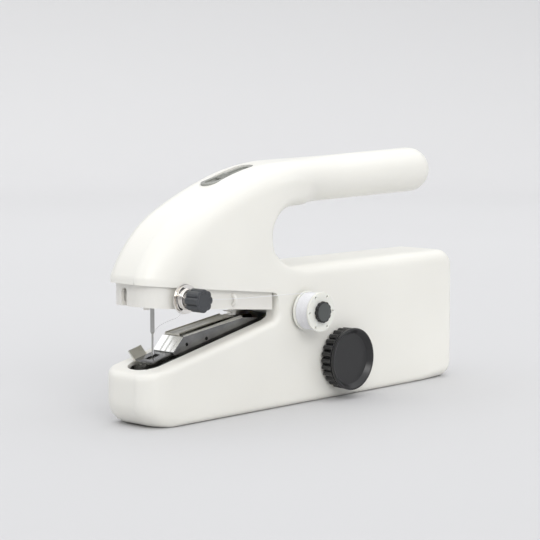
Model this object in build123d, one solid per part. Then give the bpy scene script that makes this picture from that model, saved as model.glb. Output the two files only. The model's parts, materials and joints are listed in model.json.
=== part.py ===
from build123d import *
import math
import os

# Handheld sewing machine with a C-shaped handle.
# Frame: X runs from the needle nose to the rear, Y across, Z up. The handwheel side faces -Y.
# The shapes are drawn with X = 0 at the nose. save() moves them so that the origin is on the floor,
# under the middle of the body's length. All sizes are in millimetres.

# ---- driving dimensions ----
body_length = 225.0
origin_x = body_length / 2
body_width = 36.0
wall = 2.4
parting_y = -7.0             # the near shell is the shallower one
box_height = 68.7
handle_width = 24.0
handle_thickness = 23.2
handle_end_x = 217.0
handle_rise = 0.0327         # slope of the handle's top line
handle_top_z = 119.7         # the top line where the crown meets the handle
handle_arc_x = 205.0         # where the handle's round end starts
grip_radius = 14.5           # round end of the space between handle and battery box
grip_x = 98.5
grip_z = box_height + grip_radius
nose_radius = 12.0
deck_z = 25.0                # cloth bed height at the nose
deck_slope = 0.218
head_z = 66.6                # lower edge of the head cover at the nose
head_slope = -0.116
arm_z = 56.3                 # underside of the needle arm at the nose
arm_slope = -0.094
throat_x = 85.0
upper_round = 5.0
lower_round = 3.0
gap = 0.3                    # working clearance between moving casings

arm_half = 15.4
arm_pivot = (92.0, 50.0)
crank_axis = (130.4, 20.2)
crank_throw = 2.65
tail_x = 130.4

needle_x = 18.2
needle_tip_z = 28.0
tension_x = 21.0
tension_z = 59.3
guide_x = 55.7
guide_z = 55.6
bobbin_x = 103.5
bobbin_z = 46.6
bobbin_radius = 9.7
wound_radius = 9.1
switch_length = 33.0
wheel_radius = 15.6
side_y = -body_width / 2

gear_module = 0.5
main_teeth = 44
idler_small_teeth = 12
idler_large_teeth = 36
pinion_teeth = 10
mesh_gap = 0.06
idler_angle = 30.0
motor_angle = 25.0
motor_radius = 10.1

cell_radius = 7.1
cell_length = 50.2
cell_x = 166.8
cell_y = 7.5
cell_z = (11.8, 27.2)

foot_slope = 13.0
presser_pivot = (90.5, 40.5)


def deck_at(x):
    return deck_z + deck_slope * x


def head_at(x):
    return head_z + head_slope * x


def arm_at(x):
    return arm_z + arm_slope * x


def block(x0, x1, y0, y1, z0, z1):
    return Pos((x0 + x1) / 2, (y0 + y1) / 2, (z0 + z1) / 2) * Box(x1 - x0, y1 - y0, z1 - z0)


def rod_y(x, z, radius, y0, y1):
    return Pos(x, (y0 + y1) / 2, z) * Rot(90, 0, 0) * Cylinder(radius, y1 - y0)


def rod_x(y, z, radius, x0, x1):
    return Pos((x0 + x1) / 2, y, z) * Rot(0, 90, 0) * Cylinder(radius, x1 - x0)


def rod_z(x, y, radius, z0, z1):
    return Pos(x, y, (z0 + z1) / 2) * Cylinder(radius, z1 - z0)


def side_plate(face, y0, y1):
    # a face drawn with its Y as height, made into a plate between two Y values
    return Pos(0, y1, 0) * extrude(Plane.XZ * face, amount=y1 - y0)


def polygon(*points):
    return make_face(Polyline(*points, close=True))


def save(name, *solids):
    moved = [Pos(-origin_x, 0, 0) * solid for solid in solids]
    shape = moved[0] if len(moved) == 1 else Compound(children=moved)
    shape.label = name
    export_step(shape, "parts/" + name + ".step")


# ---- casing ----
def upper_outline():
    # head, neck and handle in side view
    crown = [(101.0, handle_top_z), (60.7, 112.2), (28.4, 98.6), (0.0, 69.5)]
    end_top = handle_top_z + handle_rise * (handle_arc_x - crown[0][0])
    end_mid = (handle_end_x, end_top - handle_thickness / 2)
    end_low = (handle_arc_x, end_top - handle_thickness)
    edge = Line((0, head_z), (throat_x, head_at(throat_x)))
    edge += Line((throat_x, head_at(throat_x)), (grip_x, box_height - 3.0))
    edge += Line((grip_x, box_height - 3.0), (grip_x, box_height))
    grip_top = (grip_x, grip_z + grip_radius)
    edge += ThreePointArc((grip_x, box_height), (grip_x - grip_radius, grip_z), grip_top)
    edge += Line(grip_top, end_low)
    edge += ThreePointArc(end_low, end_mid, (handle_arc_x, end_top))
    edge += Line((handle_arc_x, end_top), crown[0])
    heading = (-1, -handle_rise)
    for start, end in zip(crown, crown[1:]):
        arc = TangentArc(start, end, tangent=heading)
        heading = arc % 1
        edge += arc
    edge += Line(crown[-1], (0, head_z))
    return make_face(edge)


def plan_outline(inset):
    # head seen from above: full width with a round nose, narrowing to the handle
    half = body_width / 2 - inset
    grip_half = handle_width / 2 - inset
    upper = Line((inset, 0), (inset, half - nose_radius))
    upper += RadiusArc((inset, half - nose_radius), (inset + nose_radius, half), nose_radius)
    upper += Line((inset + nose_radius, half), (95.0, half))
    waist = ((95.0 + 132.0) / 2, (half + grip_half) / 2)
    upper += TangentArc((95.0, half), waist, tangent=(1, 0))
    upper += TangentArc((132.0, grip_half), waist, tangent=(-1, 0))
    upper += Line((132.0, grip_half), (handle_end_x + 5.0, grip_half))
    upper += Line((handle_end_x + 5.0, grip_half), (handle_end_x + 5.0, 0))
    upper += Line((handle_end_x + 5.0, 0), (inset, 0))
    half_face = make_face(upper)
    return half_face + mirror(half_face, about=Plane.XZ)


def lower_outline():
    # cloth bed, neck and battery box in side view
    rear = body_length
    edge = Line((nose_radius, 0), (rear - 8.0, 0))
    edge += RadiusArc((rear - 8.0, 0), (rear, 8.0), -8.0)
    edge += Line((rear, 8.0), (rear, box_height - 9.5))
    edge += RadiusArc((rear, box_height - 9.5), (rear - 9.5, box_height), -9.5)
    edge += Line((rear - 9.5, box_height), (91.0, box_height))
    edge += Line((91.0, box_height), (throat_x, head_at(throat_x)))
    edge += Line((throat_x, head_at(throat_x)), (throat_x, deck_at(throat_x)))
    edge += Line((throat_x, deck_at(throat_x)), (3.0, deck_at(3.0)))
    edge += RadiusArc((3.0, deck_at(3.0)), (0, deck_z - 2.8), -3.2)
    edge += Line((0, deck_z - 2.8), (0, nose_radius))
    edge += RadiusArc((0, nose_radius), (nose_radius, 0), -nose_radius)
    return make_face(edge)


def upper_body(inset, round_radius):
    face = upper_outline()
    if inset:
        face = offset(face, amount=-inset)
    side = extrude(Plane.XZ * face, amount=body_width, both=True)
    plan = extrude(plan_outline(inset), amount=150.0)
    solid = side & plan
    if not round_radius:
        return solid
    rim = [e for e in solid.edges() if abs(e.center().Y) > 3.0 and e.center().Z > 70.0]
    rim = [e for e in rim if abs(e.tangent_at(0.5).Y) < 0.7]
    rim = [e for e in rim if e.geom_type != GeomType.LINE or abs(e.tangent_at(0.5).Z) < 0.9]
    return fillet(rim, round_radius)


def lower_body(inset, round_radius):
    face = lower_outline()
    if inset:
        face = offset(face, amount=-inset)
    half = body_width / 2 - inset
    solid = extrude(Plane.XZ * face, amount=half, both=True)
    if round_radius:
        rim = [e for e in solid.edges() if abs(e.tangent_at(0.5).Y) < 0.1]
        rim = [e for e in rim if e.center().X < 84.0 or e.center().X > 92.0]
        solid = fillet(rim, round_radius)
    length = body_length - 2 * inset
    plan = Pos(inset + length / 2, 0) * Rectangle(length, 2 * half)
    nose = plan.vertices().sort_by(Axis.X)[:2]
    return solid & extrude(fillet(nose, nose_radius), amount=100.0)


def slot_plan(half, x0, x1):
    # a slot with a round nose, seen from above
    middle = (x0 + x1) / 2
    plan = Pos(middle, 0) * Rectangle(x1 - x0, 2 * half)
    nose = plan.vertices().sort_by(Axis.X)[:2]
    return fillet(nose, half - 0.5)


def bed_slab(x0, x1, low, high):
    # a slab that follows the slope of the cloth bed, between two heights over it
    face = polygon(
        (x0, deck_at(x0) + low),
        (x1, deck_at(x1) + low),
        (x1, deck_at(x1) + high),
        (x0, deck_at(x0) + high),
    )
    return side_plate(face, -body_width, body_width)


screw_points = [
    (9.5, 9.5),
    (78.0, 12.0),
    (158.0, 9.0),
    (213.0, 57.5),
    (150.0, 59.0),
    (36.0, 91.0),
    (118.0, 109.8),
    (203.0, 111.6),
]
screw_head_y = 4.0
screw_head = 2.0
screw_tip_y = -13.5
screw_tip_short_y = -9.6
handle_screw_x = 110.0

door = (163.5, 217.0, 4.5, 36.0)
door_thickness = 1.8
jack = (6.0, 46.0)
switch_centre = (68.2, 112.9)
switch_tilt = 13.3
pivot_boss = 4.2


def at_switch(shape):
    return Pos(switch_centre[0], 0, switch_centre[1]) * Rot(0, -switch_tilt, 0) * shape


def stadium(length, width, height):
    return extrude(SlotOverall(length, width), amount=height)


def casing():
    shell = upper_body(0, upper_round) + lower_body(0, lower_round)
    room = upper_body(wall, 0) + lower_body(wall, 0)
    room += block(87.0, 91.0, -13.0, 13.0, 52.0, 68.3)
    shell -= room

    # bosses for the screws, the shafts and the two pivots
    posts = Part()
    for x, z in screw_points:
        posts += rod_y(x, z, 4.6, parting_y, 17.0)
        posts += rod_y(x, z, 3.4, -17.0, parting_y)
    for x, z in (arm_pivot, presser_pivot):
        posts += rod_y(x, z, pivot_boss, -17.0, -8.4)
        posts += rod_y(x, z, pivot_boss, 8.4, 17.0)
    posts += rod_y(*crank_axis, 5.6, -17.0, -12.0)
    posts += rod_y(bobbin_x, bobbin_z, 5.0, -17.0, -11.0)
    body = upper_body(0, upper_round) + lower_body(0, lower_round)
    shell += posts & body

    # the head is open below for the needle arm, and the neck lets both arms through
    under_head = polygon(
        (0, head_at(0) - 6.0),
        (84.6, head_at(84.6) - 6.0),
        (84.6, head_at(84.6) + 4.0),
        (0, head_at(0) + 4.0),
    )
    shell -= side_plate(under_head, -20.0, 20.0) & extrude(plan_outline(wall), amount=150.0)
    shell -= block(84.0, 88.2, -10.0, 10.0, 36.5, 57.5)
    shell -= block(84.0, 97.0, -8.3, 8.3, 36.5, 44.5)

    # slot in the cloth bed
    slot = extrude(slot_plan(9.2, 6.0, 86.0), amount=60.0)
    shell -= slot & bed_slab(5.0, 86.0, -4.0, 8.0)

    # holes
    for x, z in screw_points:
        tip = screw_tip_short_y if x > handle_screw_x and z > 100.0 else screw_tip_y
        shell -= rod_y(x, z, 1.3, tip - 0.4, 0)
        shell -= rod_y(x, z, 1.6, parting_y, 5.0)
        shell -= rod_y(x, z, 2.9, screw_head_y - screw_head, 19.0)
    shell -= rod_y(*crank_axis, 4.03, -19.0, -11.0)
    shell -= rod_y(*arm_pivot, 2.02, -16.0, 16.0)
    shell -= rod_y(*presser_pivot, 1.52, -16.0, 16.0)
    shell -= rod_y(bobbin_x, bobbin_z, 2.62, -19.0, -10.0)
    shell -= at_switch(Pos(0, 0, -1.0) * stadium(switch_length + 0.4, 9.4, 12.0))
    shell -= at_switch(Pos(0, 0, -6.0) * stadium(switch_length - 6.0, 7.0, 8.0))
    shell -= rod_x(*jack, 4.03, body_length - 4.0, body_length + 1.0)
    x0, x1, z0, z1 = door
    shell -= block(x0, x1, 18.0 - door_thickness, 19.0, z0, z1)
    shell -= block(x0 + 2.0, x1 - 2.0, 14.0, 19.0, z0 + 2.0, z1 - 2.0)
    return shell


def make_casing():
    shell = casing()
    near = shell & block(-5.0, 230.0, -30.0, parting_y, -5.0, 130.0)
    far = shell & block(-5.0, 230.0, parting_y, 30.0, -5.0, 130.0)
    save("near_shell", near)
    save("far_shell", far)


def make_shell_screws():
    screws = []
    for x, z in screw_points:
        tip = screw_tip_short_y if x > handle_screw_x and z > 100.0 else screw_tip_y
        screw = rod_y(x, z, 2.6, screw_head_y - screw_head, screw_head_y)
        screw += rod_y(x, z, 1.25, tip, screw_head_y - screw_head)
        screw -= block(x - 1.6, x + 1.6, screw_head_y - 0.8, screw_head_y + 1.0, z - 0.3, z + 0.3)
        screw -= block(x - 0.3, x + 0.3, screw_head_y - 0.8, screw_head_y + 1.0, z - 1.6, z + 1.6)
        screws.append(screw)
    save("shell_screws", *screws)


def make_bed_tray():
    outer = extrude(slot_plan(9.05, 6.15, 85.0), amount=60.0)
    inner = extrude(slot_plan(8.05, 7.15, 84.0), amount=60.0)
    tray = outer & bed_slab(5.0, 85.0, -6.4, -1.2)
    tray -= inner & bed_slab(5.0, 84.0, -5.2, 2.0)
    tray -= block(12.6, 24.0, -2.6, 2.2, 0, 60.0)
    tray -= block(23.0, 35.0, -2.2, 2.2, 0, 60.0)
    tray -= block(74.0, 86.0, -9.5, 9.5, 30.0, 60.0)
    save("bed_tray", tray)


# ---- needle arm ----
def make_needle_arm():
    x1 = 83.4
    x0 = 3.0
    outline = polygon(
        (x0, arm_at(x0)),
        (x1, arm_at(x1)),
        (x1, head_at(x1) + 1.0),
        (x0, head_at(x0) + 1.0),
    )
    inside = polygon(
        (x0 + 2.0, arm_at(x0 + 2.0) + 2.0),
        (x1 - 2.0, arm_at(x1) + 2.0),
        (x1 - 2.0, head_at(x1) + 5.0),
        (x0 + 2.0, head_at(x0 + 2.0) + 5.0),
    )
    half = arm_half

    def plan(inset, reach):
        shape = Pos((x0 + inset + reach) / 2, 0) * Rectangle(reach - x0 - inset, 2 * (half - inset))
        nose = shape.vertices().sort_by(Axis.X)[:2]
        return extrude(fillet(nose, 12.0 - inset), amount=100.0)

    arm = side_plate(outline, -half, half) & plan(0, x1)
    arm -= side_plate(inside, -half, half) & plan(2.0, x1 - 2.0)

    # needle clamp post, stud boss, spring stop and the tail that the rod drives
    arm += rod_z(needle_x, 0, 3.6, arm_at(needle_x) + 1.0, head_at(needle_x) + 1.0)
    arm += rod_z(15.0, 0.5, 1.5, arm_at(15.0) - 1.6, arm_at(15.0) + 1.0)
    arm += rod_y(tension_x, tension_z, 3.4, -half, -half + 4.0)
    tail = polygon((78.0, 49.6), (tail_x, 46.5), (tail_x, 53.5), (78.0, 57.0))
    arm += side_plate(tail, -3.0, 3.0)
    arm += block(x1 - 2.0, 90.0, -8.0, 8.0, 48.6, 55.6)
    arm += rod_y(*arm_pivot, 5.0, -8.0, 8.0)
    arm += rod_y(tail_x, 50.0, 4.0, -3.0, 3.0)
    arm -= rod_y(*arm_pivot, 2.05, -9.0, 9.0)
    arm -= rod_y(tail_x, 50.0, 1.5, -4.0, 2.0)
    arm -= rod_y(tension_x, tension_z, 1.52, -20.0, 0)

    # notch in the nose that gives a screwdriver the needle's clamp screw
    notch_y = 2.6
    notch = block(0, 6.0, notch_y - 1.9, notch_y + 1.9, 50.0, 62.6)
    arm -= notch + rod_x(notch_y, 62.6, 1.9, 0, 6.0)
    arm += block(5.8, 9.0, notch_y - 3.6, notch_y + 3.6, arm_at(5.8) + 1.0, 65.6)
    arm += block(8.5, needle_x, -2.6, 2.6, arm_at(8.5) + 1.0, 63.0)
    arm -= rod_z(needle_x, 0, 1.02, 40.0, head_at(needle_x) - 1.0)
    arm -= rod_x(0, 59.0, 1.3, 8.0, needle_x)
    arm -= rod_x(0, 59.0, 2.3, 5.0, 8.4)
    save("needle_arm", arm)
    clamp_screw = rod_x(0, 59.0, 1.25, 8.4, needle_x - 1.06) + rod_x(0, 59.0, 2.1, 6.2, 8.4)
    save("needle_clamp_screw", clamp_screw)
    save("wrist_pin", rod_y(tail_x, 50.0, 1.48, -6.0, 2.0))


def make_arm_pins():
    save("arm_pivot_pin", rod_y(*arm_pivot, 2.0, -15.8, 15.8))
    save("presser_pin", rod_y(*presser_pivot, 1.5, -15.8, 15.8))


def make_needle():
    blade_top = 42.7
    needle = rod_z(needle_x, 0, 1.0, blade_top, 63.2)
    needle += Pos(needle_x, 0, blade_top - 0.6) * Cone(0.45, 1.0, 1.2)
    needle += rod_z(needle_x, 0, 0.45, needle_tip_z + 2.5, blade_top)
    needle += Pos(needle_x, 0, needle_tip_z + 1.25) * Cone(0.05, 0.45, 2.5)
    needle -= rod_y(needle_x, needle_tip_z + 4.0, 0.2, -1.0, 1.0)
    save("needle", needle)


# ---- thread tension ----
def coil(x, y, z, axis, radius, wire, length, turns):
    # a round-wire spring that starts at the point and grows along the axis
    helix = Helix(pitch=(length - wire) / turns, height=length - wire, radius=radius)
    start = Plane(origin=helix @ 0, z_dir=helix % 0)
    spring = sweep(start * Circle(wire / 2), path=helix, is_frenet=True)
    spring = Pos(0, 0, wire / 2) * spring
    if axis == "y":
        spring = Rot(90, 0, 0) * spring
    return Pos(x, y, z) * spring


tension_face_y = -18.6
disc_thickness = 0.4
disc_gap = 0.9               # the thread runs between the two discs


def make_tension():
    x, z = tension_x, tension_z
    y = tension_face_y
    save("tension_bush", rod_y(x, z, 3.2, y, -arm_half) - rod_y(x, z, 1.55, y - 1.0, 0))
    save("tension_stud", rod_y(x, z, 1.5, -29.5, -11.4) + rod_y(x, z, 2.4, -11.4, -9.8))
    discs = []
    for i in range(2):
        y1 = y - i * (disc_thickness + disc_gap)
        disc = rod_y(x, z, 7.0, y1 - disc_thickness, y1) - rod_y(x, z, 1.6, y1 - 1.0, y1 + 1.0)
        discs.append(disc)
    save("tension_discs", *discs)
    spring_y = y - 2 * disc_thickness - disc_gap - 0.05
    save("tension_spring", coil(x, spring_y, z, "y", 2.9, 0.6, 3.6, 3))
    knob_y = spring_y - 3.6
    knob = rod_y(x, z, 4.6, knob_y - 7.6, knob_y)
    for i in range(8):
        a = math.radians(45.0 * i + 10.0)
        knob += rod_y(x + 4.0 * math.cos(a), z + 4.0 * math.sin(a), 1.45, knob_y - 7.6, knob_y)
    knob -= rod_y(x, z, 1.53, -29.8, knob_y + 1.0)
    save("tension_knob", knob)


def make_thread_guide():
    loop = Torus(2.3, 0.8)
    loop = Pos(guide_x, -arm_half - 1.0, guide_z) * Rot(0, 90, 0) * loop
    save("thread_guide", loop & block(guide_x - 5.0, guide_x + 5.0, -20.0, -arm_half, 40.0, 70.0))


# ---- presser arm ----
def make_presser_arm():
    half = 7.0
    sheet = 0.8
    ramp_x = 25.0
    top_x = 31.5
    top_z = 39.4
    end_x = 70.0
    end_z = 45.0
    px, pz = presser_pivot
    side = polygon(
        (ramp_x, deck_at(ramp_x) + 1.2),
        (ramp_x, 32.6),
        (top_x, top_z),
        (end_x, end_z),
        (83.0, 44.0),
        (px, pz + 3.4),
        (px + 3.4, pz),
        (px, pz - 3.4),
        (83.0, 37.4),
        (70.0, deck_at(70.0) - 0.8),
        (32.0, deck_at(32.0) - 0.8),
    )
    walls = side_plate(side, -half, -half + sheet) + side_plate(side, half - sheet, half)
    top = polygon((top_x, top_z), (end_x, end_z), (end_x, end_z - sheet), (top_x, top_z - sheet))
    ramp = polygon((ramp_x, 31.6), (ramp_x, 32.6), (top_x, top_z), (top_x + 0.3, top_z - sheet))
    arm = walls + side_plate(top, -half, half) + side_plate(ramp, -half, half)
    foot = polygon((12.8, 29.0), (ramp_x + 0.2, 31.8), (ramp_x + 0.2, 32.6), (12.8, 29.8))
    foot = side_plate(foot, -6.0, 6.0)
    foot -= block(14.8, 21.6, -1.9, 1.7, 25.0, 40.0)
    tab = Box(9.0, sheet, 6.0, align=(Align.CENTER, Align.MIN, Align.MIN))
    tab = Pos(17.0, 6.0, 29.8) * Rot(-35.0, -foot_slope, 0) * tab
    arm += foot + tab
    for x in (33.7, 46.7):
        arm -= Pos(x, -half, 0.5 * (deck_at(x) + top_z)) * Rot(90, 0, 0) * Cylinder(0.9, 3.0)
    arm -= rod_y(px, pz, 1.55, -9.0, 9.0)
    save("presser_arm", arm)
    rest_z = top_z + (66.0 - top_x) * (end_z - top_z) / (end_x - top_x)
    save("presser_spring", coil(66.0, -2.0, rest_z + 0.25, "z", 2.0, 0.5, arm_at(66.0) - rest_z - 0.6, 4))


# ---- looper and feed, under the tray ----
looper_z = 11.5


def make_looper():
    shaft = rod_x(0, looper_z, 1.6, 19.0, 68.0)
    save("looper_shaft", shaft)
    hook = rod_x(0, looper_z, 3.4, 19.5, 22.0) - rod_x(0, looper_z, 1.6, 18.0, 24.0)
    finger = polygon((2.0, looper_z), (5.4, looper_z + 3.0), (5.2, looper_z + 6.6), (2.2, looper_z + 7.2),
                     (4.0, looper_z + 5.4), (3.4, looper_z + 3.4), (0.5, looper_z + 2.9))
    finger = Pos(19.5, 0, 0) * extrude(Plane.YZ * finger, amount=2.5)
    hook += finger - rod_x(0, looper_z, 1.6, 18.0, 24.0)
    save("looper", hook)
    lever = block(64.0, 67.0, -2.6, 2.6, looper_z, looper_z + 9.0) + rod_x(0, looper_z, 3.4, 64.0, 67.0)
    save("looper_lever", lever - rod_x(0, looper_z, 1.6, 60.0, 70.0))
    blocks = []
    for x in (28.0, 56.0):
        bearing = block(x, x + 4.0, -3.6, 3.6, wall + 0.1, looper_z + 3.4)
        blocks.append(bearing - rod_x(0, looper_z, 1.65, x - 1.0, x + 5.0))
    save("looper_bearings", *blocks)


def make_feed_dog():
    bar = bed_slab(24.6, 33.4, -8.6, -6.8) & block(24.6, 33.4, -1.8, 1.8, 0, 60.0)
    neck = bed_slab(24.6, 33.4, -8.0, -5.0) & block(24.6, 33.4, -1.8, 1.8, 0, 60.0)
    dog = bar + neck
    for i in range(5):
        x = 25.0 + 1.8 * i
        z = deck_at(x) - 5.1
        tooth = polygon((x, z), (x + 1.5, z + 0.3), (x + 0.1, z + 1.1))
        dog += side_plate(tooth, -1.8, 1.8)
    save("feed_dog", dog)


# ---- drive ----
def gear(teeth, width, turn):
    # straight trapezoid teeth, drawn with the tooth gap wide enough to run
    pitch_radius = gear_module * teeth / 2
    tip = pitch_radius + 0.9 * gear_module
    root = pitch_radius - 1.2 * gear_module
    step = 360.0 / teeth
    points = []
    for i in range(teeth):
        for radius, share in ((root, -0.33), (tip, -0.11), (tip, 0.11), (root, 0.33)):
            a = math.radians(turn + step * (i + share))
            points.append((radius * math.cos(a), radius * math.sin(a)))
    return extrude(polygon(*points), amount=width)


def along_y(shape, x, z, y_front):
    # turn a shape drawn on the XY plane so that its thickness runs from y_front towards +Y
    return Pos(x, y_front, z) * Rot(90, 0, 0) * shape


idler_distance = gear_module * (main_teeth + idler_small_teeth) / 2 + mesh_gap
motor_distance = gear_module * (idler_large_teeth + pinion_teeth) / 2 + mesh_gap
idler_axis = (
    crank_axis[0] + idler_distance * math.cos(math.radians(idler_angle)),
    crank_axis[1] + idler_distance * math.sin(math.radians(idler_angle)),
)
motor_axis = (
    idler_axis[0] + motor_distance * math.cos(math.radians(motor_angle)),
    idler_axis[1] + motor_distance * math.sin(math.radians(motor_angle)),
)


def make_gears():
    main = along_y(gear(main_teeth, 2.2, idler_angle), *crank_axis, 10.9)
    save("main_gear", main - rod_y(*crank_axis, 2.0, 8.0, 12.0))
    small = along_y(gear(idler_small_teeth, 2.6, idler_angle + 180.0 + 15.0), *idler_axis, 11.2)
    large = along_y(gear(idler_large_teeth, 2.0, motor_angle), *idler_axis, 13.2)
    save("idler_gear", small + large - rod_y(*idler_axis, 1.05, 8.0, 14.0))
    pinion = along_y(gear(pinion_teeth, 2.4, motor_angle + 180.0 + 18.0), *motor_axis, 13.3)
    save("motor_pinion", pinion - rod_y(*motor_axis, 1.0, 10.0, 14.0))


def make_shafts():
    x, z = crank_axis
    save("main_shaft", rod_y(x, z, 2.0, -24.6, 15.4))
    bushes = []
    for y0, y1 in ((-18.3, -11.2), (11.6, 15.4)):
        bushes.append(rod_y(x, z, 4.0, y0, y1) - rod_y(x, z, 2.05, y0 - 1.0, y1 + 1.0))
    save("shaft_bushes", *bushes)
    save("idler_shaft", rod_y(*idler_axis, 1.0, 8.2, 15.4))
    frame = block(x - 10.0, motor_axis[0] + 8.0, 13.8, 15.4, 14.2, 40.0)
    frame -= rod_y(x, z, 4.03, 10.0, 16.0)
    frame -= rod_y(*idler_axis, 1.02, 10.0, 16.0)
    for px, pz in ((x - 7.6, 36.5), (motor_axis[0] + 5.0, 16.0)):
        frame += rod_y(px, pz, 1.8, -15.5, 15.4)
    save("gear_frame", frame)


def make_crank():
    x, z = crank_axis
    low = z - crank_throw
    cam = rod_y(x, low, 6.0, -9.0, -6.5) - rod_y(x, z, 2.0, -10.0, -5.0)
    save("eccentric", cam)
    rod = rod_y(x, low, 8.2, -9.0, -6.5) + rod_y(x, 50.0, 3.2, -9.0, -6.5)
    rod += block(x - 1.8, x + 1.8, -9.0, -6.5, low, 50.0)
    rod -= rod_y(x, low, 6.05, -10.0, -5.0)
    rod -= rod_y(x, 50.0, 1.6, -10.0, -5.0)
    save("connecting_rod", rod)


def make_motor():
    x, z = motor_axis
    can = rod_y(x, z, motor_radius, -15.0, 7.6) & block(x - 7.7, x + 7.7, -16.0, 8.0, z - 12.0, z + 12.0)
    can += rod_y(x, z, 3.0, 7.6, 8.4)
    save("motor", can - rod_y(x, z, 1.05, -8.0, 9.0))
    save("motor_shaft", rod_y(x, z, 1.0, -7.8, 13.3))


def make_handwheel():
    x, z = crank_axis
    rim = 15.6
    wheel = rod_y(x, z, rim, -27.4, -25.6) + rod_y(x, z, rim - 1.1, -25.6, -18.6)
    lobe_ring = rim - 1.5
    for i in range(26):
        a = math.radians(360.0 / 26 * i)
        wheel += rod_y(x + lobe_ring * math.cos(a), z + lobe_ring * math.sin(a), 1.35, -25.8, -19.0)
    front = -27.4
    dish_depth = 2.4
    dish_radius = 11.4
    dish = Cone(dish_radius, rim - 1.2, dish_depth, align=(Align.CENTER, Align.CENTER, Align.MIN))
    wheel -= along_y(dish, x, z, front + dish_depth)
    wheel -= rod_y(x, z, 2.0, -24.6, -18.0)
    save("handwheel", wheel)


# ---- power ----
def make_batteries():
    number = 1
    for z in cell_z:
        for y in (-cell_y, cell_y):
            cell = rod_x(y, z, cell_radius, cell_x, cell_x + cell_length - 1.2)
            cell += rod_x(y, z, 2.7, cell_x + cell_length - 1.2, cell_x + cell_length)
            save("battery_" + str(number), cell)
            number += 1
    plates = []
    plate_x = cell_x + cell_length + 0.1
    for z in cell_z:
        for y in (-cell_y, cell_y):
            plates.append(block(plate_x, plate_x + 0.5, y - 4.5, y + 4.5, z - 4.5, z + 4.5))
            spring = coil(0, 0, 0, "z", 2.6, 0.6, 1.9, 2)
            plates.append(Pos(cell_x - 2.0, y, z) * Rot(0, 90, 0) * spring)
    save("battery_contacts", *plates)
    low = cell_z[0] - cell_radius
    tray = block(cell_x - 3.0, cell_x + cell_length + 2.0, -15.2, 15.2, wall + 0.6, cell_z[1] + 2.0)
    tray -= block(cell_x - 2.05, cell_x + cell_length + 0.65, -14.8, 15.6, low - 0.1, 60.0)
    save("battery_tray", tray)
    x0, x1, z0, z1 = door
    cover = block(x0 + gap, x1 - gap, 18.0 - door_thickness + 0.1, 18.0, z0 + gap, z1 - gap)
    for x in (x0 + 12.0, x1 - 12.0):
        cover += block(x - 4.0, x + 4.0, 14.9, 17.0, z1 - 5.0, z1 - 3.4)
    for i in range(5):
        cover -= block(x0 + 8.0 + 2.0 * i, x0 + 9.0 + 2.0 * i, 17.5, 19.0, 12.0, 28.0)
    save("battery_cover", cover)


def make_jack():
    y, z = jack
    body = rod_x(y, z, 4.0, body_length - 13.0, body_length - 0.2)
    body -= rod_x(y, z, 2.75, body_length - 10.0, body_length + 1.0)
    body += rod_x(y, z, 1.0, body_length - 13.0, body_length - 2.0)
    save("dc_jack", body)


def make_switch():
    recess = Pos(0, 0, 0.8) * stadium(switch_length - 4.0, 5.4, 3.0)
    bezel = Pos(0, 0, -0.95) * (stadium(switch_length, 9.0, 2.0) - recess)
    bezel -= Pos(0, 0, -2.0) * stadium(14.0, 3.4, 5.0)
    save("switch_bezel", at_switch(bezel))
    slider = Pos(-2.2, 0, -0.05) * extrude(Rectangle(6.0, 4.8), amount=1.1)
    for i in range(4):
        slider += Pos(-4.4 + 1.5 * i, 0, 1.0) * extrude(Rectangle(0.6, 4.8), amount=0.5)
    slider += Pos(-2.2, 0, -3.0) * extrude(Rectangle(3.0, 2.4), amount=3.0)
    save("switch_slider", at_switch(slider))
    body = Pos(0, 0, -9.0) * extrude(Rectangle(22.0, 6.4), amount=7.7)
    body -= Pos(0, 0, -3.2) * extrude(Rectangle(16.0, 3.0), amount=4.0)
    save("switch_body", at_switch(body))


# ---- thread supply ----
def make_bobbin():
    x, z = bobbin_x, bobbin_z
    spindle = rod_y(x, z, 2.6, -30.6, -11.2) + rod_y(x, z, 5.2, -19.0, -18.1)
    save("bobbin_spindle", spindle)
    save("bobbin_washer", rod_y(x, z, 4.6, -19.35, -19.05) - rod_y(x, z, 2.7, -20.0, -18.0))
    reel = rod_y(x, z, bobbin_radius, -29.5, -28.4) + rod_y(x, z, bobbin_radius, -20.6, -19.5)
    reel += rod_y(x, z, 4.0, -29.0, -20.0)
    for i in range(6):
        a = math.radians(60.0 * i)
        reel -= rod_y(x + 8.4 * math.cos(a), z + 8.4 * math.sin(a), 0.6, -29.6, -28.3)
    save("bobbin", reel - rod_y(x, z, 2.68, -31.0, -18.0))
    save("bobbin_thread", rod_y(x, z, wound_radius, -28.4, -20.6) - rod_y(x, z, 4.0, -30.0, -19.0))
    cap = rod_y(x, z, 4.8, -31.6, -29.7)
    for i in range(12):
        a = math.radians(30.0 * i)
        cap += rod_y(x + 4.6 * math.cos(a), z + 4.6 * math.sin(a), 0.7, -31.6, -29.7)
    save("bobbin_cap", cap - rod_y(x, z, 2.62, -30.7, -29.0))


thread_radius = 0.15


def thread(name, points):
    # straight runs joined by tangent arcs, each as large as its two runs allow
    places = [Vector(*p) for p in points]
    radii = []
    for before, corner, after in zip(places, places[1:], places[2:]):
        come = corner - before
        leave = after - corner
        half_turn = math.radians(come.get_angle(leave)) / 2
        radii.append(0.45 * min(come.length, leave.length) / math.tan(half_turn))
    path = FilletPolyline(*places, radius=radii)
    print(name, "length", round(path.length, 1), "radii", [round(r, 1) for r in radii])
    start = Plane(origin=path @ 0, z_dir=path % 0)
    save(name, sweep(start * Circle(thread_radius), path=path))


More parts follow.
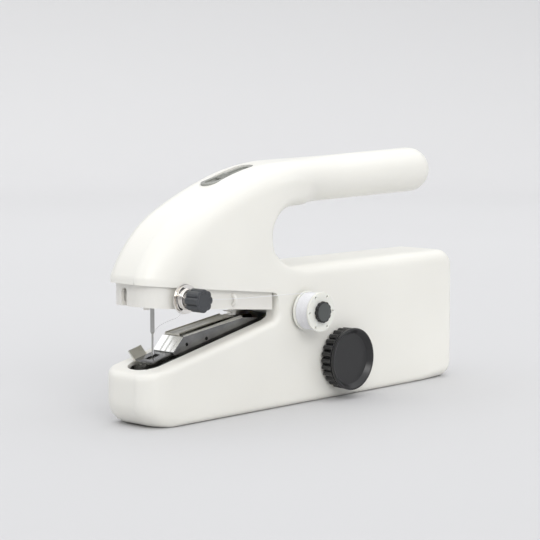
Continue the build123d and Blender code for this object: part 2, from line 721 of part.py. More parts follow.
def make_thread():
    # from the spool through the guide, between the discs under the stud, and down to the needle's eye
    disc_y = tension_face_y - disc_thickness - disc_gap / 2
    off_spool = (bobbin_x - 1.0, -24.5, bobbin_z + wound_radius + 0.3)
    in_guide = (guide_x, -arm_half - 1.2, guide_z + 0.2)
    into_discs = (tension_x + 7.4, disc_y, tension_z - 0.6)
    under_stud = (tension_x - 0.2, disc_y, tension_z - 2.6)
    off_discs = (tension_x - 4.8, disc_y, tension_z - 8.2)
    below_arm = (needle_x - 0.2, -12.4, arm_at(needle_x) - 5.2)
    by_shank = (needle_x + 0.1, -1.5, needle_tip_z + 16.6)
    by_blade = (needle_x, -0.75, needle_tip_z + 10.4)
    at_eye = (needle_x, -0.65, needle_tip_z + 4.0)
    route = [off_spool, in_guide, into_discs, under_stud, off_discs, below_arm, by_shank, by_blade, at_eye]
    thread("upper_thread", route)


os.makedirs("parts", exist_ok=True)
make_casing()
make_shell_screws()
make_bed_tray()
make_needle_arm()
make_arm_pins()
make_needle()
make_tension()
make_thread_guide()
make_presser_arm()
make_looper()
make_feed_dog()
make_gears()
make_shafts()
make_crank()
make_motor()
make_handwheel()
make_batteries()
make_jack()
make_switch()
make_bobbin()
make_thread()
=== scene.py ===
import json
import math

import bmesh
import bpy
import numpy as np
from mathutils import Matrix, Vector

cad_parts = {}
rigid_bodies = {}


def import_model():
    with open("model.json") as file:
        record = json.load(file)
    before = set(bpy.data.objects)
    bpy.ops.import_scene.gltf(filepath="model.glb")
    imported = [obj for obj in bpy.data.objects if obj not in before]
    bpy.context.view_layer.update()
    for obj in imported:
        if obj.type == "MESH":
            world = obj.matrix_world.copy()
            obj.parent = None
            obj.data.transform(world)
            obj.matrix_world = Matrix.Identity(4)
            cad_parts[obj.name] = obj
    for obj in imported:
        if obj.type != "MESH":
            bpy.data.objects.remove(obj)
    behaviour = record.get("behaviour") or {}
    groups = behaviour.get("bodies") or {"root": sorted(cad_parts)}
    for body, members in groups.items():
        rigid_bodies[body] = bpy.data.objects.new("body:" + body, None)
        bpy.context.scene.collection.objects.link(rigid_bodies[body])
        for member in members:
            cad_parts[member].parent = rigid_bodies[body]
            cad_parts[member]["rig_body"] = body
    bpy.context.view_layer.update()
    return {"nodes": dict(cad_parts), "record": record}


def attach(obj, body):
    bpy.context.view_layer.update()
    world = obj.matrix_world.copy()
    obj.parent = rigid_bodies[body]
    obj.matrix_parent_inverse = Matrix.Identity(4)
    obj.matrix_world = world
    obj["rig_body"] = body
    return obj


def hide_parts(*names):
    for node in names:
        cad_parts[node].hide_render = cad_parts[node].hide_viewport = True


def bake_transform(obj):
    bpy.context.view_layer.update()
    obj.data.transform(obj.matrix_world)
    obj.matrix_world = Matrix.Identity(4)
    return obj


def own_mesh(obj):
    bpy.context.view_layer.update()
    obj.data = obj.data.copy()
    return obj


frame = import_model()
nodes = frame["nodes"]
mm = 0.001
noseToMiddle = 112.5    # shapes are drawn from the nose; the frame's origin is under the middle
print("frame loaded:", len(nodes), "nodes")


def easeStep(value, low, high):
    # 0 below low, 1 above high, with level tangents at both ends
    t = np.clip((value - low) / (high - low), 0.0, 1.0)
    return t * t * (3.0 - 2.0 * t)


def meshFromArrays(name, points, quads):
    # points in millimetres from the nose and four corners for each face, put into a mesh in one go
    points = np.asarray(points, float) - (noseToMiddle, 0.0, 0.0)
    mesh = bpy.data.meshes.new(name)
    mesh.vertices.add(len(points))
    mesh.vertices.foreach_set("co", (points * mm).astype(np.float32).ravel())
    mesh.loops.add(4 * len(quads))
    mesh.loops.foreach_set("vertex_index", np.asarray(quads, np.int32).ravel())
    mesh.polygons.add(len(quads))
    mesh.polygons.foreach_set("loop_start", np.arange(0, 4 * len(quads), 4, dtype=np.int32))
    mesh.polygons.foreach_set("loop_total", np.full(len(quads), 4, np.int32))
    mesh.update(calc_edges=True)
    mesh.validate()
    return mesh


def placePiece(name, mesh, material, body, replaced=(), sharpAngle=38.0):
    # one object at the origin, smooth with crisp edges past the angle, riding on its body
    mesh.name = name
    mesh.materials.clear()
    mesh.materials.append(material)
    mesh.polygons.foreach_set("use_smooth", np.ones(len(mesh.polygons), bool))
    mesh.set_sharp_from_angle(angle=math.radians(sharpAngle))
    piece = bpy.data.objects.new(name, mesh)
    bpy.context.scene.collection.objects.link(piece)
    if body:
        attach(piece, body)
    if replaced:
        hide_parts(*replaced)
    return piece


def tidyMesh(mesh, mergeDistance=1e-7):
    # closes seams and poles and turns the faces outwards
    work = bmesh.new()
    work.from_mesh(mesh)
    bmesh.ops.remove_doubles(work, verts=work.verts, dist=mergeDistance)
    bmesh.ops.recalc_face_normals(work, faces=work.faces)
    work.to_mesh(mesh)
    work.free()
    return mesh


def gridQuads(rows, columns, wrapRows, wrapColumns):
    # corner numbers of the faces of a rows by columns grid, joined end to end where it wraps
    r = np.arange(rows if wrapRows else rows - 1)
    c = np.arange(columns if wrapColumns else columns - 1)
    r, c = np.meshgrid(r, c, indexing="ij")
    r2, c2 = (r + 1) % rows, (c + 1) % columns
    quads = np.stack([r * columns + c, r * columns + c2, r2 * columns + c2, r2 * columns + c], -1)
    return quads.reshape(-1, 4)


def roundedProfile(corners, radius, arcSteps=5):
    # straight runs whose corners are rounded: each round is a parabola that touches both of its runs
    corners = [np.array(c[:2], float) for c in corners]
    points = [corners[0]]
    for before, corner, after in zip(corners, corners[1:], corners[2:]):
        come = (before - corner) / np.linalg.norm(before - corner)
        leave = (after - corner) / np.linalg.norm(after - corner)
        halfAngle = 0.5 * math.acos(float(np.clip(come @ leave, -1.0, 1.0)))
        room = 0.45 * min(np.linalg.norm(before - corner), np.linalg.norm(after - corner))
        reach = min(radius / math.tan(halfAngle), room) if halfAngle < 1.55 else 0.0
        if reach < 1e-4:
            points.append(corner)
            continue
        t = np.linspace(0.0, 1.0, arcSteps)[:, None]
        start, end = corner + come * reach, corner + leave * reach
        points.extend((1 - t) ** 2 * start + 2 * t * (1 - t) * corner + t ** 2 * end)
    points.append(corners[-1])
    return np.array(points)


def turnedMesh(name, profile, centre, steps=96, lobes=0, lobeDepth=0.0, lobeSpan=None, sharpness=1.0,
               closed=False):
    # profile holds (place along y, radius); each point goes round the axis, and where lobes are asked for
    # the radius falls by lobeDepth times (1 - |cos(lobes * angle / 2)| ** sharpness)
    along, radius = profile[:, 0][:, None], profile[:, 1][:, None]
    angle = np.linspace(0.0, 2.0 * math.pi, steps, endpoint=False)[None, :]
    dip = 0.0
    if lobes:
        wave = 1.0 - np.abs(np.cos(lobes * angle / 2.0)) ** sharpness
        low, high, soft = lobeSpan
        inSpan = easeStep(along, low - soft, low) * (1.0 - easeStep(along, high, high + soft))
        dip = lobeDepth * wave * inSpan
    reach = np.maximum(radius - dip * (radius > 0), 0.0)
    u, v = reach * np.cos(angle), reach * np.sin(angle)
    points = np.stack([centre[0] + u, along + 0.0 * angle, centre[1] + v], -1)
    return tidyMesh(meshFromArrays(name, points.reshape(-1, 3), gridQuads(len(profile), steps, closed, True)))


def joinMeshes(name, meshes):
    # several closed parts of one piece in one mesh
    work = bmesh.new()
    for mesh in meshes:
        work.from_mesh(mesh)
        bpy.data.meshes.remove(mesh)
    joined = bpy.data.meshes.new(name)
    work.to_mesh(joined)
    work.free()
    return joined


def tubeMesh(name, path, radius, sides=12, plies=0, plyDepth=0.0, twist=0.0):
    # a round section carried along a path: each ring stands square to the path, and the frame is turned
    # on from ring to ring without twist; plies add a ripple that winds along the length
    path = np.asarray(path, float)
    tangent = np.gradient(path, axis=0)
    tangent /= np.linalg.norm(tangent, axis=1, keepdims=True)
    side = np.zeros_like(path)
    side[0] = np.cross(tangent[0], [0.31, 0.2, 0.93])
    for i in range(1, len(path)):
        side[i] = side[i - 1] - tangent[i] * (side[i - 1] @ tangent[i])
        side[i] /= np.linalg.norm(side[i])
    side[0] /= np.linalg.norm(side[0])
    other = np.cross(tangent, side)
    length = np.concatenate([[0.0], np.cumsum(np.linalg.norm(np.diff(path, axis=0), axis=1))])[:, None]
    angle = np.linspace(0.0, 2.0 * math.pi, sides, endpoint=False)[None, :]
    reach = radius * (1.0 - plyDepth * (0.5 + 0.5 * np.cos(plies * (angle - twist * length))))
    reach = reach * np.ones_like(length)
    rings = path[:, None, :] + reach[..., None] * (
        np.cos(angle)[..., None] * side[:, None, :] + np.sin(angle)[..., None] * other[:, None, :])
    quads = gridQuads(len(path), sides, False, True)
    ends = np.stack([path[0], path[-1]])
    points = np.concatenate([rings.reshape(-1, 3), ends])
    first, last = len(points) - 2, len(points) - 1
    c = np.arange(sides)
    capStart = np.stack([np.full(sides, first), (c + 1) % sides, c, np.full(sides, first)], -1)
    base = (len(path) - 1) * sides
    capEnd = np.stack([np.full(sides, last), base + c, base + (c + 1) % sides, np.full(sides, last)], -1)
    work = bmesh.new()
    verts = [work.verts.new((p - (noseToMiddle, 0.0, 0.0)) * mm) for p in points]
    for quad in quads:
        work.faces.new([verts[i] for i in quad])
    for cap in (capStart, capEnd):
        for quad in cap:
            work.faces.new([verts[i] for i in quad[:3]])
    bmesh.ops.recalc_face_normals(work, faces=work.faces)
    mesh = bpy.data.meshes.new(name)
    work.to_mesh(mesh)
    work.free()
    return mesh


def addBevel(piece, width, segments=2, angle=30.0):
    bevel = piece.modifiers.new("edge", "BEVEL")
    bevel.width = width * mm
    bevel.segments = segments
    bevel.limit_method = "ANGLE"
    bevel.angle_limit = math.radians(angle)
    return piece


def softEdges(nodeName, material, width, segments, pieceName):
    # a merged copy of a CAD node whose hard edges are rounded
    node = nodes[nodeName]
    work = bmesh.new()
    work.from_mesh(node.data)
    bmesh.ops.remove_doubles(work, verts=work.verts, dist=2e-6)
    bmesh.ops.dissolve_limit(work, angle_limit=math.radians(0.8), verts=work.verts, edges=work.edges)
    mesh = bpy.data.meshes.new(nodeName)
    work.to_mesh(mesh)
    work.free()
    piece = placePiece(pieceName, mesh, material, node["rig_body"], [nodeName], 30.0)
    return addBevel(piece, width, segments)


def slotOf(nodeName):
    # the record's finish for a node
    for entry in frame["record"]["subparts"]:
        if entry["node"] == nodeName:
            return entry["material_slot"]
    return "white_plastic"


def newFinish(name):
    material = bpy.data.materials.new(name)
    material.use_nodes = True
    tree = material.node_tree
    shader = tree.nodes["Principled BSDF"]
    place = tree.nodes.new("ShaderNodeTexCoord")
    return material, tree, shader, place.outputs["Object"]


def addNoise(tree, place, scale, detail=3.0, stretch=None):
    # grain in object space; stretch draws it out along one direction
    source = place
    if stretch:
        mapping = tree.nodes.new("ShaderNodeMapping")
        mapping.inputs["Scale"].default_value = stretch
        tree.links.new(place, mapping.inputs["Vector"])
        source = mapping.outputs["Vector"]
    noise = tree.nodes.new("ShaderNodeTexNoise")
    noise.inputs["Scale"].default_value = scale
    noise.inputs["Detail"].default_value = detail
    tree.links.new(source, noise.inputs["Vector"])
    return noise.outputs["Fac"]


def rampColours(tree, factor, low, high, start=0.3, end=0.7):
    ramp = tree.nodes.new("ShaderNodeValToRGB")
    ramp.color_ramp.elements[0].position = start
    ramp.color_ramp.elements[1].position = end
    ramp.color_ramp.elements[0].color = (*low, 1.0)
    ramp.color_ramp.elements[1].color = (*high, 1.0)
    tree.links.new(factor, ramp.inputs["Fac"])
    return ramp.outputs["Color"]


def spanValues(tree, factor, low, high):
    span = tree.nodes.new("ShaderNodeMapRange")
    span.inputs["To Min"].default_value = low
    span.inputs["To Max"].default_value = high
    tree.links.new(factor, span.inputs["Value"])
    return span.outputs["Result"]


def addBump(tree, shader, height, strength, distance):
    bump = tree.nodes.new("ShaderNodeBump")
    bump.inputs["Strength"].default_value = strength
    bump.inputs["Distance"].default_value = distance
    tree.links.new(height, bump.inputs["Height"])
    tree.links.new(bump.outputs["Normal"], shader.inputs["Normal"])


def mouldedPlastic(name, darker, lighter, roughness, grainScale, grainDepth, coat=0.0, glow=0.0):
    # injection-moulded plastic: slow drift of tone, fine spark-eroded grain, roughness that varies a little
    material, tree, shader, place = newFinish(name)
    drift = addNoise(tree, place, 14.0, 2.0)
    colour = rampColours(tree, drift, darker, lighter)
    tree.links.new(colour, shader.inputs["Base Color"])
    grain = addNoise(tree, place, grainScale, 2.0)
    cloud = addNoise(tree, place, 60.0, 3.0)
    tree.links.new(spanValues(tree, cloud, roughness - 0.05, roughness + 0.05), shader.inputs["Roughness"])
    addBump(tree, shader, grain, 0.35, grainDepth)
    shader.inputs["Coat Weight"].default_value = coat
    shader.inputs["Coat Roughness"].default_value = 0.12
    shader.inputs["Specular IOR Level"].default_value = 0.5
    if glow:
        shader.inputs["Subsurface Weight"].default_value = glow
        shader.inputs["Subsurface Scale"].default_value = 0.0015
        shader.inputs["Subsurface Radius"].default_value = (1.0, 0.95, 0.85)
    return material


def brightMetal(name, darker, lighter, roughness, stretch, lineDepth, lineScale=260.0):
    # plated or rolled metal: drawn-out lines in the rolling direction and cloudy variation in its gloss
    material, tree, shader, place = newFinish(name)
    shader.inputs["Metallic"].default_value = 1.0
    cloud = addNoise(tree, place, 90.0, 3.0)
    tree.links.new(rampColours(tree, cloud, darker, lighter), shader.inputs["Base Color"])
    lines = addNoise(tree, place, lineScale, 3.0, stretch)
    tree.links.new(spanValues(tree, lines, roughness * 0.7, roughness * 1.35), shader.inputs["Roughness"])
    addBump(tree, shader, lines, 0.25, lineDepth)
    return material


whitePlastic = mouldedPlastic("whitePlastic", (0.81, 0.80, 0.75), (0.865, 0.855, 0.80), 0.36, 2600.0, 0.00002,
                              glow=0.12)
armPlastic = mouldedPlastic("armPlastic", (0.76, 0.745, 0.70), (0.82, 0.81, 0.77), 0.30, 2400.0, 0.00002,
                            glow=0.2)
blackPlastic = mouldedPlastic("blackPlastic", (0.009, 0.009, 0.010), (0.016, 0.016, 0.017), 0.30, 2600.0,
                              0.00004)
greyPlastic = mouldedPlastic("greyPlastic", (0.055, 0.062, 0.060), (0.085, 0.092, 0.088), 0.30, 2600.0,
                             0.00003, coat=0.2)
darkKnobPlastic = mouldedPlastic("darkKnobPlastic", (0.040, 0.043, 0.048), (0.060, 0.064, 0.070), 0.38,
                                 2600.0, 0.00003)
gearPlastic = mouldedPlastic("gearPlastic", (0.62, 0.60, 0.52), (0.70, 0.68, 0.60), 0.40, 2200.0, 0.00003,
                             glow=0.1)
reelPlastic = mouldedPlastic("reelPlastic", (0.80, 0.80, 0.74), (0.87, 0.87, 0.82), 0.22, 2200.0, 0.00001,
                             glow=0.5)
cellWrap = mouldedPlastic("cellWrap", (0.05, 0.13, 0.10), (0.07, 0.17, 0.13), 0.28, 2000.0, 0.00001, coat=0.4)
rolled = (1.0, 14.0, 14.0)    # lines run along the machine
chrome = brightMetal("chrome", (0.80, 0.775, 0.74), (0.90, 0.875, 0.845), 0.09, (1.0, 1.0, 1.0), 0.000004)
pressedSteel = brightMetal("pressedSteel", (0.82, 0.82, 0.80), (0.92, 0.92, 0.90), 0.24, rolled, 0.00001)
# an olive copy of the pressed steel for the presser's top plate: a painted reflection of the head's warm,
# shaded underside
headReflectionSteel = brightMetal("headReflectionSteel", (0.42, 0.41, 0.35), (0.56, 0.545, 0.48), 0.16, rolled, 0.00001)
# a shaded copy of pressedSteel, made very dark for the presser body: a painted dark reflection of the
# surroundings; the ramp and flange keep the bright copy
darkReflectionSteel = brightMetal("darkReflectionSteel", (0.13, 0.13, 0.132), (0.24, 0.24, 0.238), 0.20, rolled, 0.00001)
smokePlastic = mouldedPlastic("smokePlastic", (0.24, 0.245, 0.225), (0.35, 0.355, 0.325), 0.18, 2600.0,
                              0.00002, coat=0.5)
# a paler beige copy of the pressed steel for the presser's tab: a painted reflection
tabReflectionSteel = brightMetal("tabReflectionSteel", (0.60, 0.59, 0.54), (0.72, 0.71, 0.66), 0.30, rolled, 0.00001)
traySteel = brightMetal("traySteel", (0.34, 0.34, 0.33), (0.50, 0.50, 0.48), 0.22, rolled, 0.00001)
needleSteel = brightMetal("needleSteel", (0.36, 0.36, 0.35), (0.50, 0.50, 0.49), 0.20, (10.0, 10.0, 1.0),
                          0.000004)
brass = brightMetal("brass", (0.62, 0.47, 0.20), (0.72, 0.56, 0.26), 0.24, (8.0, 1.0, 8.0), 0.000006)
motorCan = brightMetal("motorCan", (0.50, 0.50, 0.50), (0.60, 0.60, 0.60), 0.30, (8.0, 1.0, 8.0), 0.00001)


def spunThread(name):
    # cotton thread: pale fibres that wander in tone, a matt surface with a soft sheen
    material, tree, shader, place = newFinish(name)
    fibre = addNoise(tree, place, 3800.0, 4.0)
    tree.links.new(rampColours(tree, fibre, (0.72, 0.72, 0.74), (0.88, 0.88, 0.90), 0.25, 0.75),
                   shader.inputs["Base Color"])
    cloud = addNoise(tree, place, 500.0)
    tree.links.new(spanValues(tree, cloud, 0.62, 0.80), shader.inputs["Roughness"])
    addBump(tree, shader, fibre, 0.6, 0.00005)
    shader.inputs["Sheen Weight"].default_value = 0.3
    shader.inputs["Sheen Roughness"].default_value = 0.4
    return material


threadFinish = spunThread("threadFinish")

finishOfSlot = {
    "white_plastic": whitePlastic,
    "arm_plastic": armPlastic,
    "clear_plastic": reelPlastic,
    "black_plastic": blackPlastic,
    "grey_plastic": greyPlastic,
    "chrome": chrome,
    "pressed_steel": pressedSteel,
    "gear_plastic": gearPlastic,
    "brass": brass,
    "motor_can": motorCan,
    "cell_wrap": cellWrap,
    "thread": threadFinish,
}
for nodeName, node in nodes.items():
    finish = finishOfSlot.get(slotOf(nodeName), whitePlastic)
    node.data.materials.clear()
    node.data.materials.append(finish)
print("finishes made")

# the casing, in millimetres
casingSizes = {
    "length": 225.0,
    "halfWidth": 18.0,
    "gripHalfWidth": 12.0,
    "boxHeight": 68.7,
    "wall": 2.4,
    "partingY": -7.0,
    "seamGap": 0.02,
    "noseRadius": 12.0,
    "crownRound": 12.0,
    "handleRound": 11.4,
    "innerRound": 5.0,
    "boxRound": 6.0,
    "bedRound": 3.2,
    "gripRadius": 14.5,
    "gripX": 98.5,
    "handleThickness": 23.2,
    "handleTopStart": 119.7,
    "handleTopEnd": 123.1,
    "handleArcX": 205.0,
    "throatX": 85.0,
    "throatRadius": 3.0,
    "cell": 1.0,
}
cs = casingSizes


def deckAt(x):
    return 25.0 + 0.218 * x


def headAt(x):
    return 66.6 - 0.116 * x


def armAt(x):
    return 56.3 - 0.094 * x


def arcThrough(start, end, heading, count):
    # the circle that leaves start along heading and passes end: its centre is on the normal at start, at a
    # distance of half the squared chord over the chord's share across the heading
    start, end, heading = (np.array(v, float) for v in (start, end, heading))
    heading = heading / np.linalg.norm(heading)
    normal = np.array([-heading[1], heading[0]])
    chord = end - start
    radius = (chord @ chord) / (2.0 * (chord @ normal))
    centre = start + normal * radius
    first = math.atan2(*(start - centre)[::-1])
    last = math.atan2(*(end - centre)[::-1])
    turn = (last - first + math.pi) % (2.0 * math.pi) - math.pi
    angles = first + turn * np.linspace(0.0, 1.0, count)
    points = centre + abs(radius) * np.stack([np.cos(angles), np.sin(angles)], -1)
    way = np.sign(turn) * np.array([-math.sin(angles[-1]), math.cos(angles[-1])])
    return points, way


def cornerArc(centre, radius, fromDegrees, toDegrees, count=24):
    angles = np.radians(np.linspace(fromDegrees, toDegrees, count))
    return np.array(centre) + radius * np.stack([np.cos(angles), np.sin(angles)], -1)


def casingOutline():
    # side view without the throat, one closed line of straight runs and arcs from the nose round to the crown
    length, height, grip, nose = cs["length"], cs["boxHeight"], cs["gripRadius"], cs["noseRadius"]
    runs = [cornerArc((nose, nose), nose, 180.0, 270.0)]
    runs.append(cornerArc((length - 8.0, 8.0), 8.0, -90.0, 0.0))
    runs.append(cornerArc((length - 9.5, height - 9.5), 9.5, 0.0, 90.0))
    centre = (cs["gripX"], height + grip)
    slope = (cs["handleTopEnd"] - cs["handleTopStart"]) / (cs["handleArcX"] - 101.0)
    tilt = math.degrees(math.atan(slope))
    runs.append(cornerArc(centre, grip, 270.0, 90.0 + tilt, 64))
    half = cs["handleThickness"] / 2.0
    runs.append(cornerArc((cs["handleArcX"], cs["handleTopEnd"] - half), half, -90.0 + tilt, 90.0 + tilt, 48))
    crown = [(101.0, cs["handleTopStart"]), (60.7, 112.2), (28.4, 98.6), (0.0, 69.5)]
    heading = (-1.0, -slope)
    for start, end in zip(crown, crown[1:]):
        points, heading = arcThrough(start, end, heading, 40)
        runs.append(points)
    return np.concatenate([np.asarray(r, float) for r in runs])


def distanceToOutline(outline, px, pz):
    # least distance from each point to the closed line, negative inside it
    a, b = outline, np.roll(outline, -1, axis=0)
    best = np.full(px.shape, 1e9)
    inside = np.zeros(px.shape, bool)
    for (ax, az), (bx, bz) in zip(a, b):
        ux, uz = bx - ax, bz - az
        size = ux * ux + uz * uz
        if size < 1e-12:
            continue
        t = np.clip(((px - ax) * ux + (pz - az) * uz) / size, 0.0, 1.0)
        best = np.minimum(best, (px - ax - t * ux) ** 2 + (pz - az - t * uz) ** 2)
        crosses = (az > pz) != (bz > pz)
        with np.errstate(divide="ignore", invalid="ignore"):
            inside ^= crosses & (px < ux * (pz - az) / (uz if uz else 1e-12) + ax)
    distance = np.sqrt(best)
    return np.where(inside, -distance, distance)


class SideField:
    # the outline's distance, kept on a fine grid and read back between its points
    def __init__(self, outline, step=0.25, margin=14.0):
        self.step = step
        self.x0, self.z0 = -margin, -margin
        xs = np.arange(self.x0, cs["length"] + margin, step)
        zs = np.arange(self.z0, 124.0 + margin, step)
        gx, gz = np.meshgrid(xs, zs, indexing="ij")
        self.values = distanceToOutline(outline, gx, gz)

    def read(self, x, z):
        u = np.clip((x - self.x0) / self.step, 0, self.values.shape[0] - 1.001)
        v = np.clip((z - self.z0) / self.step, 0, self.values.shape[1] - 1.001)
        i, j = u.astype(int), v.astype(int)
        s, t = u - i, v - j
        g = self.values
        low = g[i, j] * (1 - t) + g[i, j + 1] * t
        high = g[i + 1, j] * (1 - t) + g[i + 1, j + 1] * t
        return low * (1 - s) + high * s


sideField = SideField(casingOutline())
print("casing outline ready")


def halfWidthAt(x, z):
    # full width below and at the head, easing to the narrower handle
    narrow = easeStep(x, 92.0, 138.0) * easeStep(z, 76.0, 88.0)
    return cs["halfWidth"] + (cs["gripHalfWidth"] - cs["halfWidth"]) * narrow


def roundAt(x, z):
    # size of the soft edge, changing from place to place
    upper = easeStep(z, headAt(x) - 10.0, headAt(x) - 2.0)
    upper = np.where(x > 86.0, easeStep(z, 68.0, 80.0), upper)
    fromGrip = np.hypot(x - cs["gripX"], z - cs["boxHeight"] - cs["gripRadius"])
    head = cs["innerRound"] + (cs["crownRound"] - cs["innerRound"]) * easeStep(fromGrip, 18.0, 30.0)
    handle = easeStep(x, 98.0, 142.0)
    high = head * (1 - handle) + cs["handleRound"] * handle
    box = easeStep(x, 93.0, 108.0) * easeStep(z, 30.0, 58.0)
    rear = easeStep(x, 195.0, 220.0)
    low = cs["bedRound"] + (cs["boxRound"] - cs["bedRound"]) * np.maximum(box, rear)
    return low * (1 - upper) + high * upper


def roundedMax(a, b, r):
    # the common part of two solids, its edge a fillet of radius r
    outer = np.hypot(np.maximum(a + r, 0.0), np.maximum(b + r, 0.0))
    return outer + np.minimum(np.maximum(a, b) + r, 0.0) - r


def throatField(x, z):
    # the open wedge between cloth bed and head, with rounded corners at its end; the two factors are the
    # cosines of the head's and the bed's slopes
    band = np.maximum((z - headAt(x)) * 0.993, (deckAt(x) - z) * 0.977)
    return roundedMax(band, x - cs["throatX"], cs["throatRadius"])


def sweptField(x, y, z):
    # the side outline carried across the width: the edge is rounded by roundAt, the nose is round in plan
    # because each slice away from the middle starts further back, and the bed's edge eases to a crisp head
    beyond = np.clip(np.abs(y) - (cs["halfWidth"] - cs["noseRadius"]), 0.0, cs["noseRadius"] - 0.02)
    setBack = cs["noseRadius"] - np.sqrt(cs["noseRadius"] ** 2 - beyond ** 2)
    setBack = setBack * (1.0 - easeStep(x, 10.0, 46.0))
    xs = x - setBack
    whole = roundedMax(sideField.read(xs, z), np.abs(y) - halfWidthAt(xs, z), roundAt(xs, z))
    middle = 0.5 * (deckAt(x) + headAt(x))
    lip = cs["bedRound"] * (1.0 - easeStep(z, middle - 4.0, middle + 4.0))
    return roundedMax(whole, -throatField(x, z), lip), whole, z > middle + 4.0


def bodyField(x, y, z, nudge=0.05):
    # the swept fields over their own slope, which makes them distances again where the slices are set back:
    # the whole body, and the same body without the throat where the throat's edge is crisp
    at = sweptField(x, y, z)
    moved = [sweptField(x + nudge, y, z), sweptField(x, y + nudge, z), sweptField(x, y, z + nudge)]
    bodies = []
    for k in (0, 1):
        slope = sum(((step[k] - at[k]) / nudge) ** 2 for step in moved)
        bodies.append(at[k] / np.maximum(np.sqrt(slope), 0.8))
    return bodies[0], np.where(at[2], bodies[1], bodies[0]), at[2]


def boxField(x, y, z, low, high):
    gaps = [np.maximum(l - v, v - h) for v, l, h in zip((x, y, z), low, high)]
    return np.maximum(np.maximum(gaps[0], gaps[1]), gaps[2])


def rodField(x, y, z, centre, radius, y0, y1):
    return np.maximum(np.hypot(x - centre[0], z - centre[1]) - radius, np.maximum(y0 - y, y - y1))


def slotField(x, y, half, x0, x1):
    # plan of a slot with a round nose towards the front
    r = half - 0.5
    qx, qy = np.maximum(x0 + r - x, 0.0), np.maximum(np.abs(y) - half + r, 0.0)
    nose = np.hypot(qx, qy) - r
    return np.maximum(np.maximum(nose, np.abs(y) - half), np.maximum(x0 - x, x - x1))


screwPoints = [(9.5, 9.5), (78.0, 12.0), (158.0, 9.0), (213.0, 57.5), (150.0, 59.0), (36.0, 91.0),
               (118.0, 109.8), (203.0, 111.6)]
openingSizes = {
    "bossRadius": 4.6,
    "wellRadius": 2.9,
    "armSlotHalf": 15.6,
    "armSlot": (2.4, 84.6),
    "bedSlotHalf": 9.2,
    "bedSlot": (6.0, 86.0),
    "neckWindow": ((84.0, -10.0, 36.5), (88.2, 10.0, 57.5)),
    "switchRecess": (33.4, 9.4, 1.0),
    "switchWell": (27.0, 7.0, 6.0),
    "shaftRadius": 4.03,
    "spindleRadius": 2.62,
    "doorRecess": 1.8,
    "doorRim": 2.0,
}
crankAxis = (130.4, 20.2)
bobbinAxis = (103.5, 46.6)
doorSpan = (163.5, 217.0, 4.5, 36.0)
jackAt = (6.0, 46.0)
switchAt = (68.2, 112.9)
switchTilt = math.radians(13.3)


def switchPlace(x, z):
    # along the switch and out of the surface
    u = (x - switchAt[0]) * math.cos(switchTilt) + (z - switchAt[1]) * math.sin(switchTilt)
    w = -(x - switchAt[0]) * math.sin(switchTilt) + (z - switchAt[1]) * math.cos(switchTilt)
    return u, w


def stadiumField(u, v, length, width):
    r = width / 2.0
    return np.hypot(np.maximum(np.abs(u) - (length / 2.0 - r), 0.0), v) - r


def casingFields(x, y, z, side):
    # every surface that bounds the shell; a point is in the plastic where all of them are negative
    o = openingSizes
    body, skin, crispThroat = bodyField(x, y, z)
    inner = body + cs["wall"]
    solid = -inner
    for centre in screwPoints:
        solid = np.minimum(solid, rodField(x, y, z, centre, o["bossRadius"], -17.5, 17.5))
    if side < 0:
        solid = np.minimum(solid, rodField(x, y, z, crankAxis, 5.6, -17.5, -12.0))
        solid = np.minimum(solid, rodField(x, y, z, bobbinAxis, 5.0, -17.5, -11.0))
    fields = [skin, solid, np.where(crispThroat, -throatField(x, z), -1e3)]
    away = (y - cs["partingY"]) * side
    fields.append(cs["seamGap"] - away)
    plan = slotField(x, y, o["armSlotHalf"], *o["armSlot"])
    fields.append(-np.maximum(plan, np.maximum(z - headAt(x) - 4.0, headAt(x) - 6.0 - z)))
    bed = z - deckAt(x)
    plan = slotField(x, y, o["bedSlotHalf"], *o["bedSlot"])
    fields.append(-np.maximum(plan, np.maximum(bed - 8.0, -4.0 - bed)))
    fields.append(-boxField(x, y, z, *o["neckWindow"]))
    u, w = switchPlace(x, z)
    for length, width, depth in (o["switchRecess"], o["switchWell"]):
        fields.append(-np.maximum(stadiumField(u, y, length, width), -depth - w))
    if side < 0:
        fields.append(-rodField(x, y, z, crankAxis, o["shaftRadius"], -20.0, -11.0))
        fields.append(-rodField(x, y, z, bobbinAxis, o["spindleRadius"], -20.0, -10.0))
    else:
        wells = np.full(x.shape, -1e3)
        for centre in screwPoints:
            wells = np.maximum(wells, -rodField(x, y, z, centre, o["wellRadius"], 2.0, 20.0))
        fields.append(wells)
        jack = np.maximum(np.hypot(y - jackAt[0], z - jackAt[1]) - o["shaftRadius"], cs["length"] - 4.0 - x)
        fields.append(-jack)
        x0, x1, z0, z1 = doorSpan
        rim, face = o["doorRim"], cs["halfWidth"] - o["doorRecess"]
        fields.append(-boxField(x, y, z, (x0, face, z0), (x1, 20.0, z1)))
        fields.append(-boxField(x, y, z, (x0 + rim, 14.0, z0 + rim), (x1 - rim, 20.0, z1 - rim)))
    return np.stack(fields)


